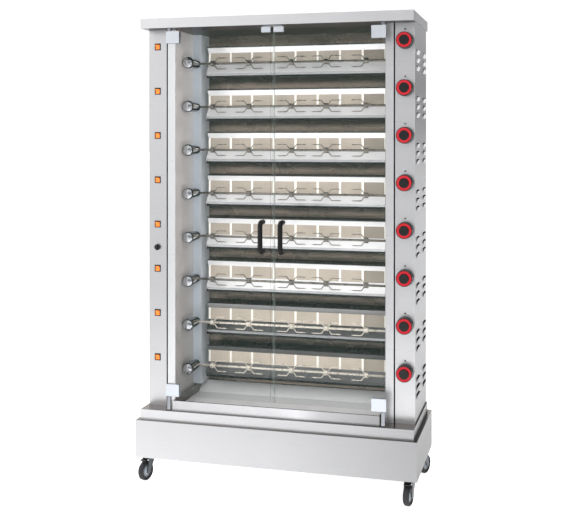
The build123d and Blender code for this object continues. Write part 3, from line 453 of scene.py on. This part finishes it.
def prong(hub, toward, up, sizes):
    """A round wire in the plane of the bar and the z axis: it starts a millimetre off the hub's middle, so
    that opposite prongs share no face, leaves the hub along a smooth step z = s(x) and tapers to a point.
    The step is flat for the first three tenths of the bend, and the taper takes the last sixth of the wire.
    Its section turns with the slope, on the normal of the path and the y axis."""
    start = 0.001
    share = np.linspace(0, 1, 25)
    x = start + share * (sizes.prong_reach - start)
    rise = np.clip((x - 0.3 * sizes.prong_bend) / (0.7 * sizes.prong_bend), 0, 1)
    low = 0.6 * sizes.hub_radius
    z = low + (sizes.prong_spread - low) * rise * rise * (3 - 2 * rise)
    radius = sizes.wire_radius * np.clip((1 - share) * 6 + 0.08, 0, 1)
    path = np.stack([hub[0] + toward * x, np.full_like(x, hub[1]), hub[2] + up * z], axis=-1)
    tangent = np.gradient(path, axis=0)
    tangent /= np.linalg.norm(tangent, axis=1, keepdims=True)
    side = np.array([0.0, 1.0, 0.0])
    normal = np.cross(tangent, side)
    turn = np.linspace(0, 2 * np.pi, sizes.round_steps, endpoint=False)
    ring = np.cos(turn)[:, None] * normal[:, None, :] + np.sin(turn)[:, None] * side
    return path[:, None, :] + radius[:, None, None] * ring


def bevelled(extent, bevel, tip, radius):
    """The profile of a rod along its axis: it widens from tip to radius over the bevel at each end."""
    return [(0, tip), (bevel, radius), (extent - bevel, radius), (extent, tip)]


def forked_bar(low, high, y, z, sizes):
    """The grids of one spit: a bar turned about the x axis from low to high, and on it the hub, the thumb
    screw and the prongs of each fork."""
    steps = sizes.round_steps
    bar = bevelled(high - low, BAR_BEVEL, BAR_TIP, sizes.bar_radius)
    hub = bevelled(sizes.hub_length, HUB_BEVEL, sizes.hub_radius - HUB_BEVEL, sizes.hub_radius)
    grids = [turned(bar, (low, y, z), (1, 0, 0), 2 * steps)]
    for x, ways in FORKS:
        grids.append(turned(hub, (x - sizes.hub_length / 2, y, z), (1, 0, 0), 2 * steps))
        grids.append(turned(SCREW, (x, y, z), (0, -1, 0), steps))
        grids.extend(prong((x, y, z), toward, up, sizes) for toward in ways for up in (-1, 1))
    return grids


def box_faces(middle, normal):
    """Numbers for a folded box: 2 for faces that look up, which get a painted dark reflection, 3 for those
    that look down from the canopy, which get painted shade, 1 for the sides, which get painted shade, and 0
    for the rest."""
    up, down = normal[:, 2] > FACING, normal[:, 2] < -FACING
    return np.select([up, down & (middle[:, 2] > CANOPY_LEVEL), np.abs(normal[:, 0]) > FACING], [2, 3, 1], 0)


def column_faces(low, high):
    """A choice of numbers for a column between two corners: 3 for the inside above its foot, which gets
    painted shade, 2 for faces that look up, which get a painted dark reflection, 1 for the side with its
    louvres, which gets painted shade, and 0 for the rest."""
    def choose(middle, normal):
        x, y, z = np.abs(middle[:, 0]), middle[:, 1], middle[:, 2]
        within = (x > COLUMN_INSIDE[0]) & (x < COLUMN_INSIDE[1]) & (z > COLUMN_FOOT)
        within &= (y > low[1] + COLUMN_SKIN) & (y < high[1] - COLUMN_SKIN)
        side = (x > COLUMN_OUTSIDE) | (np.abs(normal[:, 0]) > FACING)
        return np.select([within, normal[:, 2] > FACING, side], [3, 2, 1], 0)
    return choose


def tray_faces(rim):
    """A choice of numbers for the tray: 3 for the rim, which gets painted shade, 1 for the bottom, whose near
    white is a painted reflection, 2 for the ends' insides, which get a painted dark reflection, and 0 for the
    rest."""
    def choose(middle, normal):
        inward = normal[:, 0] * np.sign(middle[:, 0]) < -FACING
        return np.select([middle[:, 2] > rim, normal[:, 2] > UPWARD, inward], [3, 1, 2], 0)
    return choose


def head_faces(dome):
    """A choice of numbers for the spit heads, as a painted reflection: bright domes with dark rims, and
    barrels in bands, as a round mirror would show its surroundings. 0 is bright, 1 is shaded and 2 is dark."""
    def choose(middle, normal):
        ahead, up = middle[:, 1] <= dome, normal[:, 2]
        bands = [up > lean for lean in BARREL_BANDS]
        return np.select([ahead & (normal[:, 1] > DOME_RIM), ahead, *bands], [2, 0, 1, 2, 0], 2)
    return choose


def knob_faces(low, high):
    """A choice of numbers for a tap knob between two corners: 1 for the ring let into its face, 0 for the
    rest."""
    def choose(middle, normal):
        x, z = (low[0] + high[0]) / 2, (low[2] + high[2]) / 2
        face = low[1] + RING_FACE
        radius = np.hypot(middle[:, 0] - x, middle[:, 2] - z)
        on_ring = (radius > RING_RADII[0]) & (radius < RING_RADII[1])
        return on_ring & (middle[:, 1] > face) & (middle[:, 1] < face + RING_DEPTH)
    return choose


class ROTISSERIE_OT_casing(bpy.types.Operator):
    """Finish the plinth, deck, canopy, columns, chamber and drip tray"""
    bl_idname = "rotisserie.casing"
    bl_label = "Casing"

    def execute(self, context):
        look = context.scene.rotisserie_finishes
        # Brushed sheet: a soft satin grey that pales where it turns to the light. The plinth and the deck
        # carry painted light that fades from their left ends to their right ends
        satin = {"rough": 0.3, "strength": 0.12, "metal": 0.88}
        sheet = brushed_stainless("brushed_stainless_304", look.panel, **satin)
        across = {**satin, "fall": BASE_ACROSS, "axis": "X"}
        plinth = brushed_stainless("brushed_stainless_plinth", look.panel, **across)
        deck = brushed_stainless("brushed_stainless_deck", look.deck, **across)
        canopy = brushed_stainless("brushed_stainless_canopy", look.deck, **satin)
        # Side sheet: a duller brush, with painted shade that makes the side faces darker than the fronts and
        # darker towards the floor, and painted light near the top
        flank = brushed_stainless("side_stainless_painted_shade", look.flank, rough=0.36, strength=0.12,
                                  metal=0.88, fall=FLANK_UP)
        # Faces that look up or stand inside: a smooth sheet, with a painted dark reflection on the faces that
        # look up and painted shade inside the columns and under the canopy
        ledge = polished_stainless("ledge_painted_dark_reflection", look.ledge, rough=0.22, metal=0.9)
        shade = polished_stainless("shaded_inner_sheet", look.inner, rough=0.35, metal=0.9)
        for name, front in (("base_plinth", plinth), ("base_deck", deck), ("canopy", canopy)):
            wear((name,), front, flank, ledge, shade)
            paint(name, box_faces)
        wear(COLUMNS, sheet, flank, ledge, shade)
        for name in COLUMNS:
            paint(name, column_faces(*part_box(name)))
        wear(("rear_cover",), sheet)
        # Chamber walls: pale lining with painted shade that darkens it downwards, behind bright jambs with
        # painted light that is stronger on the left
        lining = brushed_stainless("brushed_chamber_lining", look.lining, rough=0.4, strength=0.15,
                                   metal=0.25, fall=LINING_UP)
        jamb = brushed_stainless("bright_brushed_jamb", look.jamb, rough=0.3, strength=0.12,
                                 metal=0.8, fall=JAMB_ACROSS, axis="X")
        wear(WALLS, jamb, lining)
        for name in WALLS:
            paint(name, lambda middle, normal: (np.abs(middle[:, 0]) < WALL_INSIDE)
                  & (np.abs(normal[:, 0]) > WALL_FACING))
        # Corner shield: a polish whose bluish tint is a painted reflection, with a paler copy on the side
        # that faces the burners, which is painted light
        wear(("corner_shield",),
             polished_stainless("polished_stainless_304", look.shield, rough=0.3, metal=0.3),
             polished_stainless("polished_shield_side", look.shield_side, rough=0.3, metal=0.1))
        paint("corner_shield", lambda middle, normal: normal[:, 0] > SHIELD_FACING)
        # Drip tray: a bright front with painted light across it, a rim in painted shade, and a pale, softly
        # polished bottom whose near white is a painted reflection
        front = polished_stainless("polished_tray_sheet", look.tray, rough=0.2, metal=0.6,
                                   fall=TRAY_ACROSS, axis="X")
        bottom = polished_stainless("polished_tray_bottom", look.pan, rough=0.2, metal=0.16)
        wear(("drip_tray",), front, bottom, ledge, shade)
        paint("drip_tray", tray_faces(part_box("drip_tray")[1][2] - TRAY_RIM))
        wear(("chamber_back",), shade_banded_stainless(look.tinted))
        return {"FINISHED"}


class ROTISSERIE_OT_burners(bpy.types.Operator):
    """Finish the burner housings, the plaques and the strips between them"""
    bl_idname = "rotisserie.burners"
    bl_label = "Burners"

    def execute(self, context):
        look = context.scene.rotisserie_finishes
        # Reflector lips and flanges: near white lips and greyer flanges, lit and shaded copies of one polish,
        # with a painted dark reflection on each fold and at the two lowest levels
        lip = polished_stainless("polished_burner_lip", look.polished, rough=0.16, metal=0.22,
                                 fall=LIP_DARK_REFLECTION, edge=LIP_EDGE)
        flange = polished_stainless("polished_burner_flange", look.flange, rough=0.16, metal=0.7,
                                    fall=FLANGE_DARK_REFLECTION, edge=FLANGE_EDGE)
        wear(("burner_housings",), lip, flange)
        paint("burner_housings", lambda middle, normal: normal[:, 1] < FLANGE_FACING)
        # Plaques: chalky beige with dull white strips of fibre between them, and an end plaque whose greyer
        # tone is painted shade
        wear(("ceramic_plaques",), drilled_ceramic("cordierite_ceramic", look.plaque),
             mottled("ceramic_fibre_strip", look.joint, rough=0.9, spread=0.05, size=0.01),
             drilled_ceramic("cordierite_end_painted_shade", look.end_plaque_shade))
        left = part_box("ceramic_plaques")[0][0]
        paint("ceramic_plaques", lambda middle, normal: np.where(
            (middle[:, 0] - left) % PLAQUE_PITCH < PLAQUE_JOINT, 1, 2 * (middle[:, 0] > left + LAST_PLAQUE)))
        return {"FINISHED"}


class ROTISSERIE_OT_spits(bpy.types.Operator):
    """Build the spits with their wire forks, and finish their heads and bearings"""
    bl_idname = "rotisserie.spits"
    bl_label = "Spits"

    def execute(self, context):
        look = context.scene.rotisserie_finishes
        sizes = context.scene.rotisserie_sizes
        # Chromium plate: a hard mirror, with a painted reflection that is bright where it would see the room
        # and dark where it would see the chamber
        wear(("spit_bearings",),
             mottled("chromium_plate", look.chrome, rough=0.07, spread=0.03, size=0.03, Metallic=1.0),
             mottled("shaded_chromium_plate", look.barrel, rough=0.12, spread=0.05, size=0.03, Metallic=1.0),
             mottled("dark_chromium_plate", look.inner, rough=0.12, spread=0.05, size=0.03, Metallic=1.0))
        paint("spit_bearings", head_faces(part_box("spit_bearings")[0][1] + HEAD_DOME))
        # Drawn bar: a greyish steel, dulled in spots by fat, with a painted highlight that brightens the two
        # lowest spits
        steel = mottled("drawn_stainless_bar", look.bar, rough=0.28, spread=0.12, size=0.02, Metallic=1.0)
        brightened = mottled("bright_drawn_bar", look.bright_bar, rough=0.28, spread=0.12, size=0.02, Metallic=0.7)
        for level in LEVELS:
            low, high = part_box(f"spit_{level}")
            y = packed_joint(f"spit_turn_{level}")["pos_m"][1]
            grids = forked_bar(low[0], high[0], y, (low[2] + high[2]) / 2, sizes)
            surface = brightened if level in BRIGHT_SPITS else steel
            piece = join(f"forked_spit_{level}", grids, surface, f"spit_body_{level}")
            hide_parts(f"spit_{level}")
        return {"FINISHED"}


class ROTISSERIE_OT_doors(bpy.types.Operator):
    """Finish the glass doors with their clamps, handles, posts and seal"""
    bl_idname = "rotisserie.doors"
    bl_label = "Doors"

    def execute(self, context):
        look = context.scene.rotisserie_finishes
        # Toughened glass: nearly clear, with green-black ground edges
        wear(PANES, clear_sheet("toughened_glass", look.glass, rough=0.02, cover=0.07),
             clear_sheet("ground_glass_edge", look.glass_edge, rough=0.3, cover=0.85))
        for name in PANES:
            paint(name, lambda middle, normal: np.abs(normal[:, 0]) > FACING)
        # Vinyl seal: a faint grey-green haze
        wear(("door_seal",), clear_sheet("clear_vinyl_strip", look.seal, rough=0.25, cover=0.12))
        # Posts and clamps: plated steel with a sharp shine, and satin zinc with a soft one
        wear(("door_posts",),
             mottled("plated_steel_post", look.post, rough=0.15, spread=0.05, size=0.02, Metallic=1.0))
        wear(("left_door_fittings", "right_door_fittings"),
             mottled("satin_plated_zinc", look.satin, rough=0.38, spread=0.02, size=0.02, Metallic=0.9))
        # Moulded handles: near black, with little shine
        wear(("left_door_handle", "right_door_handle"),
             mottled("black_nylon", look.nylon, rough=0.5, spread=0.2, size=0.01, Specular_IOR_Level=0.25))
        return {"FINISHED"}


class ROTISSERIE_OT_controls(bpy.types.Operator):
    """Finish the tap knobs, rocker switches and lamp switch"""
    bl_idname = "rotisserie.controls"
    bl_label = "Controls"

    def execute(self, context):
        look = context.scene.rotisserie_finishes
        # Tap knobs: moulded phenolic, near black, with a smooth red enamel ring
        black = mottled("black_phenolic", look.nylon, rough=0.4, spread=0.15, size=0.01,
                        Specular_IOR_Level=0.35)
        red = mottled("red_enamel_ring", look.ring, rough=0.4, spread=0.06, size=0.01,
                      Specular_IOR_Level=0.3)
        for level in LEVELS:
            name = f"knob_{level}"
            wear((name,), black, red)
            paint(name, knob_faces(*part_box(name)))
        # Switches: dull black polyamide round glossy orange polycarbonate
        wear(("switch_bezels", "lamp_switch"),
             mottled("black_polyamide", look.black, rough=0.45, spread=0.15, size=0.008))
        wear([f"rocker_{level}" for level in LEVELS],
             mottled("orange_polycarbonate", look.rocker, rough=0.28, spread=0.08, size=0.008))
        return {"FINISHED"}


class ROTISSERIE_OT_castors(bpy.types.Operator):
    """Finish the castors"""
    bl_idname = "rotisserie.castors"
    bl_label = "Castors"

    def execute(self, context):
        look = context.scene.rotisserie_finishes
        # Forks: pressed steel, a dark cloudy zinc plate
        wear([f"{corner}_fork" for corner in CORNERS],
             mottled("zinc_plated_pressing", look.zinc, rough=0.36, spread=0.12, size=0.012, Metallic=1.0))
        # Wheels: dull black rubber round a smooth grey nylon middle
        tyre = mottled("black_rubber_tyre", look.tyre, rough=0.7, spread=0.25, size=0.008)
        rim = mottled("grey_nylon_rim", look.rim, rough=0.4, spread=0.08, size=0.01)
        for corner in CORNERS:
            name = f"{corner}_wheel"
            wear((name,), tyre, rim)
            roll = packed_joint(f"{name}_roll")
            hub, axle = np.array(roll["pos_m"]), np.array(roll["axis"])
            paint(name, lambda middle, normal: WHEEL_RIM > np.linalg.norm(
                np.cross(middle - hub, axle), axis=1))
        # Pedals: black enamel with a slight orange peel
        wear(("front_left_pedal", "front_right_pedal"),
             mottled("black_enamel_pedal", look.black, rough=0.4, spread=0.2, size=0.01))
        return {"FINISHED"}


class ROTISSERIE_OT_works(bpy.types.Operator):
    """Finish the motors and the gas train inside the columns"""
    bl_idname = "rotisserie.works"
    bl_label = "Inner works"

    def execute(self, context):
        look = context.scene.rotisserie_finishes
        # Motors: dull black paint. Gas train: bare brass, dulled in spots
        wear(("gear_motors",), mottled("black_motor_paint", look.black, rough=0.5, spread=0.2, size=0.02))
        wear(("gas_train",),
             mottled("plain_brass", look.brass, rough=0.3, spread=0.15, size=0.02, Metallic=1.0))
        return {"FINISHED"}


class ROTISSERIE_OT_stage(bpy.types.Operator):
    """Set the floor, the light and the camera"""
    bl_idname = "rotisserie.stage"
    bl_label = "Stage"

    def execute(self, context):
        scene = context.scene
        scene.view_settings.view_transform = "Standard"
        self.lay_floor(scene)
        self.light_sky(scene)
        # Soft boxes that the steel doesn't mirror: name, place, turn in degrees, size, power in watts
        for name, place, turn, size, power in (
            ("key_softbox", (-1.6, -3.0, 3.4), (50, 0, -28), 1.6, 25),
            ("chamber_fill", (0.1, -3.2, 1.5), (86, 0, 2), 1.2, 46),
            ("side_fill", (1.5, -2.6, 1.9), (80, 0, 36), 1.0, 28),
        ):
            light = bpy.data.lights.new(name, "AREA")
            light.size = size
            light.energy = power
            lamp = bpy.data.objects.new(name, light)
            lamp.location = place
            lamp.visible_glossy = False
            lamp.rotation_euler = [radians(angle) for angle in turn]
            scene.collection.objects.link(lamp)
        # The camera, level and shifted down so that uprights stay upright
        lens = bpy.data.cameras.new("photo_view")
        lens.sensor_width = 36
        lens.lens = 62.04
        lens.shift_y = -0.2074
        camera = bpy.data.objects.new("photo_view", lens)
        camera.location = (1.0977, -4.0382, 1.4420)
        camera.rotation_euler = (radians(90), 0, radians(15.25))
        scene.collection.objects.link(camera)
        scene.camera = camera
        return {"FINISHED"}

    @staticmethod
    def lay_floor(scene):
        """One flat square, half a millimetre below the wheels and wide enough to reach the horizon."""
        reach, drop = np.array([-90.0, 90.0]), 0.0005
        corners = np.stack(np.meshgrid(reach, reach), axis=-1).reshape(-1, 2)
        mesh = bpy.data.meshes.new("studio_floor")
        mesh.from_pydata(np.column_stack([corners, np.full(4, -drop)]).tolist(), [], [(0, 1, 3, 2)])
        mesh.materials.append(studio_floor())
        floor = bpy.data.objects.new("studio_floor", mesh)
        scene.collection.objects.link(floor)

    @staticmethod
    def light_sky(scene):
        """A white sky: ahead of the doors it is bright on the left and overhead, behind them on the left."""
        world = bpy.data.worlds.new("studio")
        world.use_nodes = True
        tree = world.node_tree
        tree.nodes.clear()
        way = add(tree, "ShaderNodeTexCoord").outputs["Generated"]
        parts = add(tree, "ShaderNodeSeparateXYZ", {0: way}).outputs
        left = add(tree, "ShaderNodeMapRange", {"Value": parts["X"], "From Min": -0.45, "From Max": -0.06,
                                                "To Min": 1.6, "To Max": 0.4}).outputs[0]
        above = add(tree, "ShaderNodeMapRange", {"Value": parts["Z"], "From Min": 0.25, "From Max": 0.6,
                                                 "To Min": 0.0, "To Max": 0.75}).outputs[0]
        ahead = add(tree, "ShaderNodeMath", {0: left, 1: above}, operation="ADD").outputs[0]
        behind = add(tree, "ShaderNodeMapRange", {"Value": parts["X"], "From Min": 0.016, "From Max": 0.08,
                                                  "To Min": 1.1, "To Max": 0.25}).outputs[0]
        side = add(tree, "ShaderNodeMapRange", {"Value": parts["Y"], "From Min": -0.1,
                                                "From Max": 0.3}).outputs[0]
        glow = add(tree, "ShaderNodeMix", {"Factor": side, "A": ahead, "B": behind}).outputs["Result"]
        sky = add(tree, "ShaderNodeBackground", {"Color": (1, 1, 1, 1), "Strength": glow})
        add(tree, "ShaderNodeOutputWorld", {"Surface": sky.outputs[0]})
        scene.world = world


class ROTISSERIE_PT_panel(bpy.types.Panel):
    """Lists the rotisserie's steps and settings."""
    bl_idname = "ROTISSERIE_PT_panel"
    bl_label = "Rotisserie"
    bl_space_type = "VIEW_3D"
    bl_region_type = "UI"
    bl_category = "Rotisserie"

    def draw(self, context):
        for step in STEPS:
            self.layout.operator(step.bl_idname)
        for group in (context.scene.rotisserie_finishes, context.scene.rotisserie_sizes):
            for key in group.bl_rna.properties.keys():
                if key not in ("rna_type", "name"):
                    self.layout.prop(group, key)


STEPS = (ROTISSERIE_OT_casing, ROTISSERIE_OT_burners, ROTISSERIE_OT_spits, ROTISSERIE_OT_doors,
         ROTISSERIE_OT_controls, ROTISSERIE_OT_castors, ROTISSERIE_OT_works, ROTISSERIE_OT_stage)
CLASSES = (RotisserieFinishes, RotisserieSizes, *STEPS, ROTISSERIE_PT_panel)


def register():
    """Register the classes and hang their settings on the scene."""
    for item in CLASSES:
        bpy.utils.register_class(item)
    bpy.types.Scene.rotisserie_finishes = PointerProperty(type=RotisserieFinishes)
    bpy.types.Scene.rotisserie_sizes = PointerProperty(type=RotisserieSizes)


def unregister():
    """Take the settings and the classes away again."""
    del bpy.types.Scene.rotisserie_sizes
    del bpy.types.Scene.rotisserie_finishes
    for item in reversed(CLASSES):
        bpy.utils.unregister_class(item)


def main():
    """Build every piece in order."""
    register()
    bpy.ops.rotisserie.casing()
    bpy.ops.rotisserie.burners()
    bpy.ops.rotisserie.spits()
    bpy.ops.rotisserie.doors()
    bpy.ops.rotisserie.controls()
    bpy.ops.rotisserie.castors()
    bpy.ops.rotisserie.works()
    bpy.ops.rotisserie.stage()


if __name__ == "__main__":
    main()
